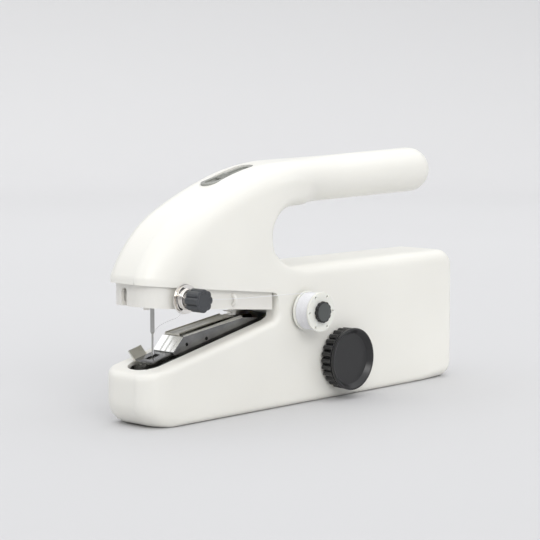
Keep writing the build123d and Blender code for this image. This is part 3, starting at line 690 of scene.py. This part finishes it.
def surfaceOf(fieldsAt, xs, ys, zs):
    # one vertex in every grid cell that the surface crosses, at the mean of its edge crossings, and one
    # quad round every grid edge that the surface cuts; each vertex is then moved onto the exact surface,
    # and onto both surfaces where two of them meet in a crisp edge
    gx, gy, gz = np.meshgrid(xs, ys, zs, indexing="ij")
    stack = fieldsAt(gx, gy, gz)
    value = stack.max(0)
    owner = stack.argmax(0)
    del stack
    grid = np.stack([gx, gy, gz], -1)
    shape = tuple(n - 1 for n in value.shape)
    total = np.zeros(shape + (3,))
    count = np.zeros(shape)
    offsets = [(0, 0), (0, 1), (1, 0), (1, 1)]
    cuts = []
    for axis in range(3):
        lower = [slice(None)] * 3
        upper = [slice(None)] * 3
        lower[axis], upper[axis] = slice(0, -1), slice(1, None)
        lower, upper = tuple(lower), tuple(upper)
        f0, f1 = value[lower], value[upper]
        cut = (f0 < 0) != (f1 < 0)
        t = np.where(cut, f0 / np.where(cut, f0 - f1, 1.0), 0.0)
        point = grid[lower] + t[..., None] * (grid[upper] - grid[lower])
        others = [k for k in range(3) if k != axis]
        for da, db in offsets:
            pick = [slice(None)] * 3
            pick[others[0]] = slice(da, da + shape[others[0]])
            pick[others[1]] = slice(db, db + shape[others[1]])
            pick = tuple(pick)
            total += np.where(cut[pick][..., None], point[pick], 0.0)
            count += cut[pick]
        cuts.append((cut, f0 < 0, others))
    active = count > 0
    number = np.full(shape, -1)
    number[active] = np.arange(active.sum())
    points = total[active] / count[active][:, None]
    quads = []
    for axis, (cut, startsInside, others) in enumerate(cuts):
        inner = [slice(None)] * 3
        inner[others[0]] = slice(1, -1)
        inner[others[1]] = slice(1, -1)
        where = np.argwhere(cut[tuple(inner)])
        if not len(where):
            continue
        where[:, others[0]] += 1
        where[:, others[1]] += 1
        flip = startsInside[tuple(where.T)] ^ (axis == 1)
        corners = []
        for da, db in ((-1, -1), (0, -1), (0, 0), (-1, 0)):
            cell = where.copy()
            cell[:, others[0]] += da
            cell[:, others[1]] += db
            corners.append(number[tuple(cell.T)])
        ring = np.stack(corners, -1)
        quads.append(np.where(flip[:, None], ring, ring[:, ::-1]))
    quads = np.concatenate(quads)
    lowest = np.full(shape, 99)
    highest = np.full(shape, -1)
    for corner in np.ndindex(2, 2, 2):
        pick = tuple(slice(c, c + n) for c, n in zip(corner, shape))
        outside = value[pick] >= 0
        lowest = np.where(outside, np.minimum(lowest, owner[pick]), lowest)
        highest = np.where(outside, np.maximum(highest, owner[pick]), highest)
    crisp = (highest > lowest)[active]
    return settle(fieldsAt, points, crisp, lowest[active]), quads


def settle(fieldsAt, points, crisp, owner, nudge=0.02, rounds=3):
    # Newton steps along the gradient, onto the cell's own surface for a smooth vertex and two for a crisp one
    home = points.copy()
    for _ in range(rounds):
        at = fieldsAt(*points.T)
        slopes = []
        for k in range(3):
            moved = points.copy()
            moved[:, k] += nudge
            slopes.append((fieldsAt(*moved.T) - at) / nudge)
        slopes = np.stack(slopes, -1)
        order = np.argsort(at, axis=0)
        rows = np.arange(len(points))
        first, second = np.where(crisp, order[-1], owner), order[-2]
        v1, v2 = at[first, rows], at[second, rows]
        g1, g2 = slopes[first, rows], slopes[second, rows]
        a, b, c = (g1 * g1).sum(1) + 1e-9, (g1 * g2).sum(1), (g2 * g2).sum(1) + 1e-9
        single = -(v1 / a)[:, None] * g1
        det = a * c - b * b
        good = crisp & (det > 0.08 * a * c) & (v2 > v1 - 1.2)
        safe = np.where(good, det, 1.0)
        m1 = (-v1 * c + v2 * b) / safe
        m2 = (-v2 * a + v1 * b) / safe
        double = m1[:, None] * g1 + m2[:, None] * g2
        step = np.where(good[:, None], double, single)
        size = np.linalg.norm(step, axis=1, keepdims=True)
        step *= np.minimum(1.0, 0.8 / np.maximum(size, 1e-9))
        points = points + step
        away = points - home
        far = np.linalg.norm(away, axis=1, keepdims=True)
        points = home + away * np.minimum(1.0, 1.1 / np.maximum(far, 1e-9))
    return points


def makeCasing():
    step = cs["cell"]
    xs = np.arange(-1.3, cs["length"] + 1.6, step)
    zs = np.arange(-1.3, 125.5, step)
    seam = cs["partingY"]
    fine = np.array([-0.3, -0.04, 0.1, 0.3, 0.6, 1.0])
    for side, name, node in ((-1, "nearShell", "near_shell"), (1, "farShell", "far_shell")):
        far = cs["halfWidth"] + 1.2
        reach = far + seam if side < 0 else far - seam
        steps = np.concatenate([fine, np.arange(1.6, reach + step, step)])
        ys = np.sort(seam + side * steps)

        def fieldsAt(x, y, z, side=side):
            return casingFields(x, y, z, side)

        points, quads = surfaceOf(fieldsAt, xs, ys, zs)
        mesh = meshFromArrays(name, points, quads)
        placePiece(name, mesh, whitePlastic, "casing", [node], 36.0)
        print(name, "quads:", len(quads))


makeCasing()


def roundedLoop(corners, radius, arcSteps=5):
    # a closed outline whose corners are rounded, from the open version run once round
    corners = [tuple(c) for c in corners]
    middle = tuple(np.mean([corners[0], corners[-1]], axis=0))
    loop = roundedProfile([middle, *corners, middle], radius, arcSteps)
    return loop[:-1]


def prismMesh(name, first, second):
    # two outlines of as many points, joined by their sides and closed by their own faces
    points = (np.concatenate([first, second]) - (noseToMiddle, 0.0, 0.0)) * mm
    count = len(first)
    c = np.arange(count)
    faces = [c[::-1], c + count, *np.stack([c, (c + 1) % count, (c + 1) % count + count, c + count], -1)]
    mesh = bpy.data.meshes.new(name)
    mesh.from_pydata(points.tolist(), [], [face.tolist() for face in faces])
    return tidyMesh(mesh, 1e-9)


def plateMesh(name, outline, at, uDir, vDir, thickness):
    # a flat outline in the plane of uDir and vDir through at, made into a plate by a step along their cross
    at, uDir, vDir = (np.array(v, float) for v in (at, uDir, vDir))
    uDir /= np.linalg.norm(uDir)
    vDir -= uDir * (uDir @ vDir)
    vDir /= np.linalg.norm(vDir)
    flat = at + outline[:, :1] * uDir + outline[:, 1:] * vDir
    return prismMesh(name, flat, flat + np.cross(uDir, vDir) * thickness)


def sectionMesh(name, section, start, end):
    # a closed section in (across, up) carried straight from start to end, with flat ends
    rings = [np.column_stack([np.full(len(section), x), y + section[:, 0], z + section[:, 1]])
             for x, y, z in (start, end)]
    return prismMesh(name, *rings)


def coilMesh(name, start, axis, radius, wire, length, turns, steps=36):
    # a helix whose rise eases in and out, so that its end turns lie flat as on a ground spring
    t = np.linspace(0.0, 1.0, int(turns * steps) + 1)
    angle = 2.0 * math.pi * turns * t
    rise = wire + (length - 2 * wire) * (0.25 * t + 0.75 * t * t * (3 - 2 * t))
    u, v = radius * np.cos(angle), radius * np.sin(angle)
    if axis == "y":
        path = np.stack([start[0] + u, start[1] - rise, start[2] + v], -1)
    else:
        path = np.stack([start[0] + u, start[1] + v, start[2] + rise], -1)
    return tubeMesh(name, path, wire, 12)


wheelSizes = {"front": -27.4, "back": -18.6, "rim": 15.6, "dishRadius": 12.7, "dishDepth": 2.4, "lobes": 26,
              "lobeDepth": 1.7}


def makeHandwheel():
    w = wheelSizes
    front, rim = w["front"], w["rim"]
    floor = front + w["dishDepth"]
    corners = [(floor, 0.0), (floor, 1.5), (floor, 5.0), (floor, 9.0), (floor, w["dishRadius"]),
               (front + 0.15, rim - 1.0), (front, rim - 0.7), (front, rim), (front + 1.5, rim),
               (front + 1.7, rim - 1.0), (front + 2.1, rim - 1.0),
               (front + 2.2, rim - 0.15), (w["back"] - 0.4, rim - 0.3), (w["back"], rim - 1.6),
               (w["back"], 0.0)]
    profile = roundedProfile(corners, 0.35, 4)
    extra = np.linspace(front + 2.6, w["back"] - 0.9, 14)
    at = int(np.argmax(profile[:, 0] > front + 2.55))
    body = np.stack([extra, np.interp(extra, [front + 2.2, w["back"] - 0.4], [rim - 0.15, rim - 0.3])], -1)
    keep = [q for q in profile[at:] if q[0] > w["back"] - 0.85]
    profile = np.concatenate([profile[:at], body, np.array(keep)])
    mesh = turnedMesh("handwheel", profile, crankAxis, 364, w["lobes"], w["lobeDepth"],
                      (front + 2.9, w["back"] + 2.0, 0.5), 0.85)
    placePiece("handwheelBody", mesh, blackPlastic, "drive", ["handwheel"], 42.0)


tensionSizes = {"x": 21.0, "z": 59.3, "face": -18.6, "disc": 0.4, "gap": 0.9, "discRadius": 7.0,
                "spring": 3.6, "knob": 7.6, "knobRadius": 5.45, "knobLobes": 8}


def makeTension():
    t = tensionSizes
    centre = (t["x"], t["z"])
    inner, outer = t["face"], t["face"] - t["disc"] - t["gap"]
    r = t["discRadius"]
    first = roundedProfile([(inner - 0.4, 1.6), (inner - 0.4, 5.4), (inner - 0.1, r), (inner + 0.22, r),
                            (inner, 5.4), (inner, 1.6), (inner - 0.4, 1.6)], 0.14, 4)
    second = roundedProfile([(outer, 1.7), (outer, 5.0), (outer - 0.3, 6.7), (outer - 0.62, 6.6),
                             (outer - 0.42, 5.0), (outer - 1.9, 4.75), (outer - 1.9, 4.3), (outer - 0.5, 4.1),
                             (outer - 0.42, 1.7), (outer, 1.7)], 0.14, 4)
    discs = [turnedMesh("disc", p[:-1], centre, closed=True) for p in (first, second)]
    mesh = joinMeshes("discs", discs)
    placePiece("tensionDiscPair", mesh, chrome, "needle_arm", ["tension_discs"], 32.0)
    springStart = outer - t["disc"] - 0.05
    mesh = coilMesh("spring", (t["x"], springStart, t["z"]), "y", 2.9, 0.3, t["spring"], 3.5)
    placePiece("tensionCoil", mesh, chrome, "needle_arm", ["tension_spring"], 60.0)
    back = springStart - t["spring"]
    front = back - t["knob"]
    kr = t["knobRadius"]
    corners = [(front + 0.25, 0.0), (front + 0.25, kr - 1.6), (front, kr - 1.2), (front, kr),
               (back, kr), (back, 0.0)]
    profile = roundedProfile(corners, 0.5, 5)
    rows = np.linspace(front + 0.7, back - 0.7, 10)
    ahead = profile[profile[:, 0] < front + 0.69]
    behind = profile[profile[:, 0] > back - 0.69]
    profile = np.concatenate([ahead, np.stack([rows, np.full(10, kr)], -1), behind])
    mesh = turnedMesh("knob", profile, centre, 192, t["knobLobes"], 0.95, (front - 1.0, back + 1.0, 0.5), 0.5)
    placePiece("tensionKnobBody", mesh, darkKnobPlastic, "tension_knob", ["tension_knob"],
               42.0)


bobbinSizes = {"near": -28.4, "far": -20.6, "wound": 9.2, "core": 4.0, "pitch": 0.34, "capFront": -31.6,
               "capBack": -29.7, "capRadius": 5.3, "capLobes": 12}


def makeBobbin():
    b = bobbinSizes
    softEdges("bobbin", reelPlastic, 0.18, 2, "bobbinReel")
    # wound thread: the radius follows a screw line, so that each turn is a small round ridge
    rows, steps = 260, 120
    along = np.linspace(b["near"], b["far"], rows)[:, None]
    angle = np.linspace(0.0, 2 * math.pi, steps, endpoint=False)[None, :]
    ridge = np.abs(np.sin(math.pi * (along / b["pitch"] + angle / (2 * math.pi))))
    swell = 0.10 * np.sin(along * 1.7) + 0.06 * np.sin(along * 4.1 + 1.0)
    reach = b["wound"] - 0.34 + 0.16 * ridge + swell
    ends = np.clip(np.minimum(along - b["near"], b["far"] - along) / 0.02, 0.0, 1.0)
    reach = np.where(ends > 0, reach, b["core"])
    points = np.stack([bobbinAxis[0] + reach * np.cos(angle), along + 0 * angle,
                       bobbinAxis[1] + reach * np.sin(angle)], -1)
    inner = np.stack([bobbinAxis[0] + b["core"] * np.cos(angle[0]), np.full(steps, b["far"]),
                      bobbinAxis[1] + b["core"] * np.sin(angle[0])], -1)[None]
    points = np.concatenate([points, inner])
    mesh = tidyMesh(meshFromArrays("winding", points.reshape(-1, 3), gridQuads(rows + 1, steps, True, True)))
    placePiece("bobbinWinding", mesh, threadFinish, "bobbin", ["bobbin_thread"], 60.0)
    cr = b["capRadius"]
    corners = [(b["capFront"] + 0.3, 0.0), (b["capFront"] + 0.3, cr - 0.9), (b["capFront"] + 0.2, cr - 0.7),
               (b["capFront"] + 0.2, cr), (b["capBack"], cr), (b["capBack"], 0.0)]
    profile = roundedProfile(corners, 0.3, 5)
    mesh = turnedMesh("cap", profile, bobbinAxis, 192, b["capLobes"], 0.55,
                      (b["capFront"] - 1.0, b["capBack"] + 1.0, 0.5), 0.6)
    placePiece("bobbinCapRing", mesh, blackPlastic, "bobbin_cap", ["bobbin_cap"], 42.0)
    front = b["capFront"]
    corners = [(front + 0.05, 0.0), (front + 0.06, 1.0), (front + 0.07, 2.5), (front + 0.08, cr - 0.85),
               (front + 0.5, cr - 0.75), (front + 0.5, 0.0)]
    face = roundedProfile(corners, 0.1, 4)
    mesh = turnedMesh("capFace", face, bobbinAxis)
    placePiece("bobbinCapFace", mesh, greyPlastic, "bobbin_cap", (), 50.0)


presserSizes = {"rampX": 25.0, "rampZ": 32.6, "topX": 31.5, "topZ": 39.4, "endX": 70.0, "endZ": 45.0,
                "half": 7.0, "ribs": (-4.6, -1.2, 2.2), "tabY": 5.0, "tabZ": 30.2}


def topLineAt(x):
    p = presserSizes
    return p["topZ"] + (x - p["topX"]) * (p["endZ"] - p["topZ"]) / (p["endX"] - p["topX"])


def makePresser():
    p = presserSizes
    # the body's very dark steel is a painted dark reflection
    body = softEdges("presser_arm", darkReflectionSteel, 0.14, 2, "presserBody")
    half = p["half"]
    # bright ramp plate with its pressed ribs
    rampDir = (p["topX"] - p["rampX"], 0.0, p["topZ"] - p["rampZ"])
    rampLength = math.hypot(rampDir[0], rampDir[2])
    corners = [(0.2, -half + 0.3), (rampLength, -half), (rampLength, half - 0.2), (0.2, half - 0.2)]
    outline = roundedLoop(corners, 0.5)
    mesh = plateMesh("ramp", outline, (p["rampX"], 0.0, p["rampZ"] + 0.02), rampDir, (0.0, 1.0, 0.0), 0.25)
    meshes = [mesh]
    for y in p["ribs"]:
        t = np.linspace(0.04, 0.98, 14)
        path = np.stack([p["rampX"] + rampDir[0] * t, np.full(14, y), p["rampZ"] + 0.1 + rampDir[2] * t], -1)
        meshes.append(tubeMesh("rib", path, 0.5, 14))
    mesh = joinMeshes("rampAll", meshes)
    ramp = placePiece("presserRamp", mesh, pressedSteel, "presser", (), 40.0)
    addBevel(ramp, 0.08)
    # raised plate on top, with its two rolled edges; its olive tint is a painted reflection of the head's
    # shaded underside
    section = roundedLoop([(-3.6, -0.4), (-3.6, 1.15), (-3.1, 1.45), (-2.6, 0.95), (5.3, 0.95), (5.8, 1.45),
                           (6.3, 1.15), (6.3, -0.4)], 0.22, 4)
    x0, x1 = 32.2, 68.5
    mesh = sectionMesh("topPlate", section, (x0, 0.0, topLineAt(x0)), (x1, 0.0, topLineAt(x1)))
    placePiece("presserTopPlate", mesh, headReflectionSteel, "presser", (), 35.0)
    # near flange: a strip that widens and turns up towards the rear
    along = (44.5, 0.0, 6.0)
    outline = roundedLoop([(0.0, 0.0), (40.0, 0.0), (40.0, 1.7), (0.0, 0.8)], 0.4)
    corner = (31.6, -half - 0.15, p["topZ"] + 0.05)
    mesh = plateMesh("flange", outline, corner, along, (0.0, 0.72, 0.69), 0.35)
    flange = placePiece("presserFlange", mesh, pressedSteel, "presser", (), 35.0)
    addBevel(flange, 0.1)
    # the tab that the finger lifts gets a paler, beige copy of the steel: a painted reflection
    mesh = body.data
    mesh.materials.append(tabReflectionSteel)
    centres = np.empty(3 * len(mesh.polygons))
    mesh.polygons.foreach_get("center", centres)
    centres = centres.reshape(-1, 3) / mm + (noseToMiddle, 0.0, 0.0)
    onTab = (centres[:, 1] > p["tabY"]) & (centres[:, 2] > p["tabZ"]) & (centres[:, 0] < 24.0)
    mesh.polygons.foreach_set("material_index", onTab.astype(np.int32))
    # spring between the presser and the needle arm
    foot = topLineAt(66.0) + 0.25
    height = armAt(66.0) - foot - 0.35
    mesh = coilMesh("presserSpring", (66.0, -2.0, foot), "z", 2.0, 0.2, height, 3.4)
    spring = placePiece("presserCoil", mesh, chrome, "presser", ["presser_spring"], 60.0)
    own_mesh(spring)


def makeArm():
    softEdges("needle_arm", armPlastic, 0.5, 3, "needleArmBody")
    softEdges("tension_bush", armPlastic, 0.3, 2, "tensionBoss")
    softEdges("needle", needleSteel, 0.05, 2, "needleBlade")
    # the thread guide: a half ring that stands out of the arm's side, with flared feet
    turn = np.radians(np.linspace(-8.0, 188.0, 40))
    path = np.stack([np.full(40, 55.7), -15.3 - 2.3 * np.sin(turn), 55.6 + 2.3 * np.cos(turn)], -1)
    mesh = tubeMesh("guide", path, 0.85, 16)
    placePiece("threadLoop", mesh, armPlastic, "needle_arm", ["thread_guide"], 60.0)


def makeSwitch():
    softEdges("switch_bezel", smokePlastic, 0.22, 3, "switchRim")
    softEdges("switch_slider", smokePlastic, 0.14, 2, "switchKnob")
    softEdges("battery_cover", whitePlastic, 0.25, 2, "batteryDoor")
    softEdges("bed_tray", traySteel, 0.2, 2, "bedTrayBody")


threadSizes = {"radius": 0.15, "discPlane": -19.45}


def makeThread():
    # the same points as the part's route, on one smooth spline, then a twisted three-ply section along it
    discY, tx, tz, nx = threadSizes["discPlane"], 21.0, 59.3, 18.2
    route = [
        (bobbinAxis[0] - 1.0, -24.5, bobbinAxis[1] + 9.4),
        (55.7, -16.6, 55.8),
        (tx + 7.4, discY, tz - 0.6),
        (tx - 0.2, discY, tz - 2.6),
        (tx - 4.8, discY, tz - 8.2),
        (nx - 0.2, -12.4, armAt(nx) - 5.2),
        (nx + 0.1, -1.5, 44.6),
        (nx, -0.75, 38.4),
        (nx, -0.65, 32.0),
    ]
    curve = bpy.data.curves.new("threadLine", "CURVE")
    curve.dimensions = "3D"
    curve.resolution_u = 24
    spline = curve.splines.new("NURBS")
    spline.points.add(len(route) - 1)
    for point, place in zip(spline.points, route):
        point.co = (*place, 1.0)
    spline.order_u = 3
    spline.use_endpoint_u = True
    holder = bpy.data.objects.new("threadLine", curve)
    bpy.context.scene.collection.objects.link(holder)
    line = bpy.data.meshes.new_from_object(holder)
    path = np.array([v.co for v in line.vertices])
    bpy.data.objects.remove(holder)
    bpy.data.meshes.remove(line)
    mesh = tubeMesh("thread", path, threadSizes["radius"], 12, 3, 0.22, 4.0)
    piece = placePiece("threadRun", mesh, threadFinish, None, ["upper_thread"], 70.0)
    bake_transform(piece)


makeHandwheel()
makeTension()
makeBobbin()
makePresser()
makeArm()
makeSwitch()
makeThread()
print("moving pieces made")

viewSizes = {
    "place": (-0.6802, -0.6211, 0.1596),
    "yaw": 47.0,
    "pitch": 5.9,
    "lens": 123.33,
}


def makeCamera():
    data = bpy.data.cameras.new("camera")
    data.lens = viewSizes["lens"]
    data.sensor_width = 36.0
    camera = bpy.data.objects.new("camera", data)
    yaw, pitch = math.radians(viewSizes["yaw"]), math.radians(viewSizes["pitch"])
    look = Vector((math.sin(yaw) * math.cos(pitch), math.cos(yaw) * math.cos(pitch), -math.sin(pitch)))
    camera.location = viewSizes["place"]
    camera.rotation_mode = "QUATERNION"
    camera.rotation_quaternion = look.to_track_quat("-Z", "Y")
    bpy.context.scene.collection.objects.link(camera)
    bpy.context.scene.camera = camera


# metres
floorSizes = {
    "flat": 1.6,
    "bend": 0.7,
    "rise": 0.1,
    "rings": 90,
    "steps": 128,
    "levelTones": ((0.612, 0.611, 0.615), (0.618, 0.617, 0.621)),
    "raisedTone": (0.55, 0.55, 0.555),
    "toneHeight": 0.30,
}


def makeFloor():
    # a sweep: level near the object, turning up behind it on a quarter circle, the same all round
    f = floorSizes
    flat, bend, rise, rings, steps = f["flat"], f["bend"], f["rise"], f["rings"], f["steps"]
    t = np.linspace(0.0, 1.0, rings)
    reach = np.where(t < 0.5, flat * t / 0.5, 0.0)
    turn = np.clip((t - 0.5) / 0.3, 0.0, 1.0) * math.pi / 2
    reach = np.where(t >= 0.5, flat + bend * np.sin(turn), reach)
    height = bend * (1 - np.cos(turn)) + rise * np.clip((t - 0.8) / 0.2, 0.0, 1.0)
    angle = np.linspace(0.0, 2 * math.pi, steps, endpoint=False)
    points = np.stack([
        reach[:, None] * np.cos(angle),
        reach[:, None] * np.sin(angle),
        height[:, None] - 0.00002 + 0.0 * angle,
    ], -1)
    drawn = points.reshape(-1, 3) / mm + (noseToMiddle, 0.0, 0.0)
    mesh = meshFromArrays("floor", drawn, gridQuads(rings, steps, False, True))
    tidyMesh(mesh)
    work = bmesh.new()
    work.from_mesh(mesh)
    bmesh.ops.reverse_faces(work, faces=work.faces)
    work.to_mesh(mesh)
    work.free()
    material, tree, shader, place = newFinish("paleFloor")
    cloud = addNoise(tree, place, 3.0)
    # the sweep is painted a little darker where it turns up and faces the lamps
    split = tree.nodes.new("ShaderNodeSeparateXYZ")
    tree.links.new(place, split.inputs[0])
    height = tree.nodes.new("ShaderNodeMapRange")
    height.inputs["From Max"].default_value = f["toneHeight"]
    tree.links.new(split.outputs["Z"], height.inputs["Value"])
    paint = tree.nodes.new("ShaderNodeMix")
    paint.data_type = "RGBA"
    paint.inputs["B"].default_value = (*f["raisedTone"], 1.0)
    tree.links.new(height.outputs["Result"], paint.inputs["Factor"])
    tree.links.new(rampColours(tree, cloud, *f["levelTones"]), paint.inputs["A"])
    tree.links.new(paint.outputs["Result"], shader.inputs["Base Color"])
    tree.links.new(spanValues(tree, cloud, 0.68, 0.74), shader.inputs["Roughness"])
    shader.inputs["Specular IOR Level"].default_value = 0.15
    mesh.materials.append(material)
    mesh.polygons.foreach_set("use_smooth", np.ones(len(mesh.polygons), bool))
    floor = bpy.data.objects.new("floor", mesh)
    bpy.context.scene.collection.objects.link(floor)


def addSun(name, heading, strength, spread, tint):
    # a wide, far softbox that lights object and sweep evenly
    data = bpy.data.lights.new(name, "SUN")
    data.energy = strength
    data.angle = math.radians(spread)
    data.color = tint
    lamp = bpy.data.objects.new(name, data)
    lamp.location = (0.0, 0.0, 2.0)
    lamp.rotation_mode = "QUATERNION"
    lamp.rotation_quaternion = Vector(heading).to_track_quat("-Z", "Y")
    bpy.context.scene.collection.objects.link(lamp)


lightSizes = {
    "sunHeading": (0.42, 0.84, -0.35),
    "sunStrength": 1.55,
    "sunSpread": 38.0,
    "sunTint": (1.0, 0.995, 0.98),
    "skyTint": (0.965, 0.97, 0.985),
    "skyBand": (0.30, 0.62),
    "skyStrength": (0.30, 1.38),
}


def makeLights():
    lit = lightSizes
    addSun("keySun", lit["sunHeading"], lit["sunStrength"], lit["sunSpread"], lit["sunTint"])
    world = bpy.data.worlds.new("studio")
    world.use_nodes = True
    # a large soft overhead source: dim near the horizon, bright above, by the sine of the height angle
    tree = world.node_tree
    shade = tree.nodes["Background"]
    shade.inputs["Color"].default_value = (*lit["skyTint"], 1.0)
    heading = tree.nodes.new("ShaderNodeTexCoord")
    split = tree.nodes.new("ShaderNodeSeparateXYZ")
    span = tree.nodes.new("ShaderNodeMapRange")
    span.interpolation_type = "SMOOTHSTEP"
    for end, height, strength in zip(("Min", "Max"), lit["skyBand"], lit["skyStrength"]):
        span.inputs["From " + end].default_value = height
        span.inputs["To " + end].default_value = strength
    tree.links.new(heading.outputs["Generated"], split.inputs[0])
    tree.links.new(split.outputs["Z"], span.inputs["Value"])
    tree.links.new(span.outputs["Result"], shade.inputs["Strength"])
    bpy.context.scene.world = world
    bpy.context.scene.view_settings.view_transform = "Standard"


makeCamera()
makeFloor()
makeLights()
print("camera, floor and lights placed")
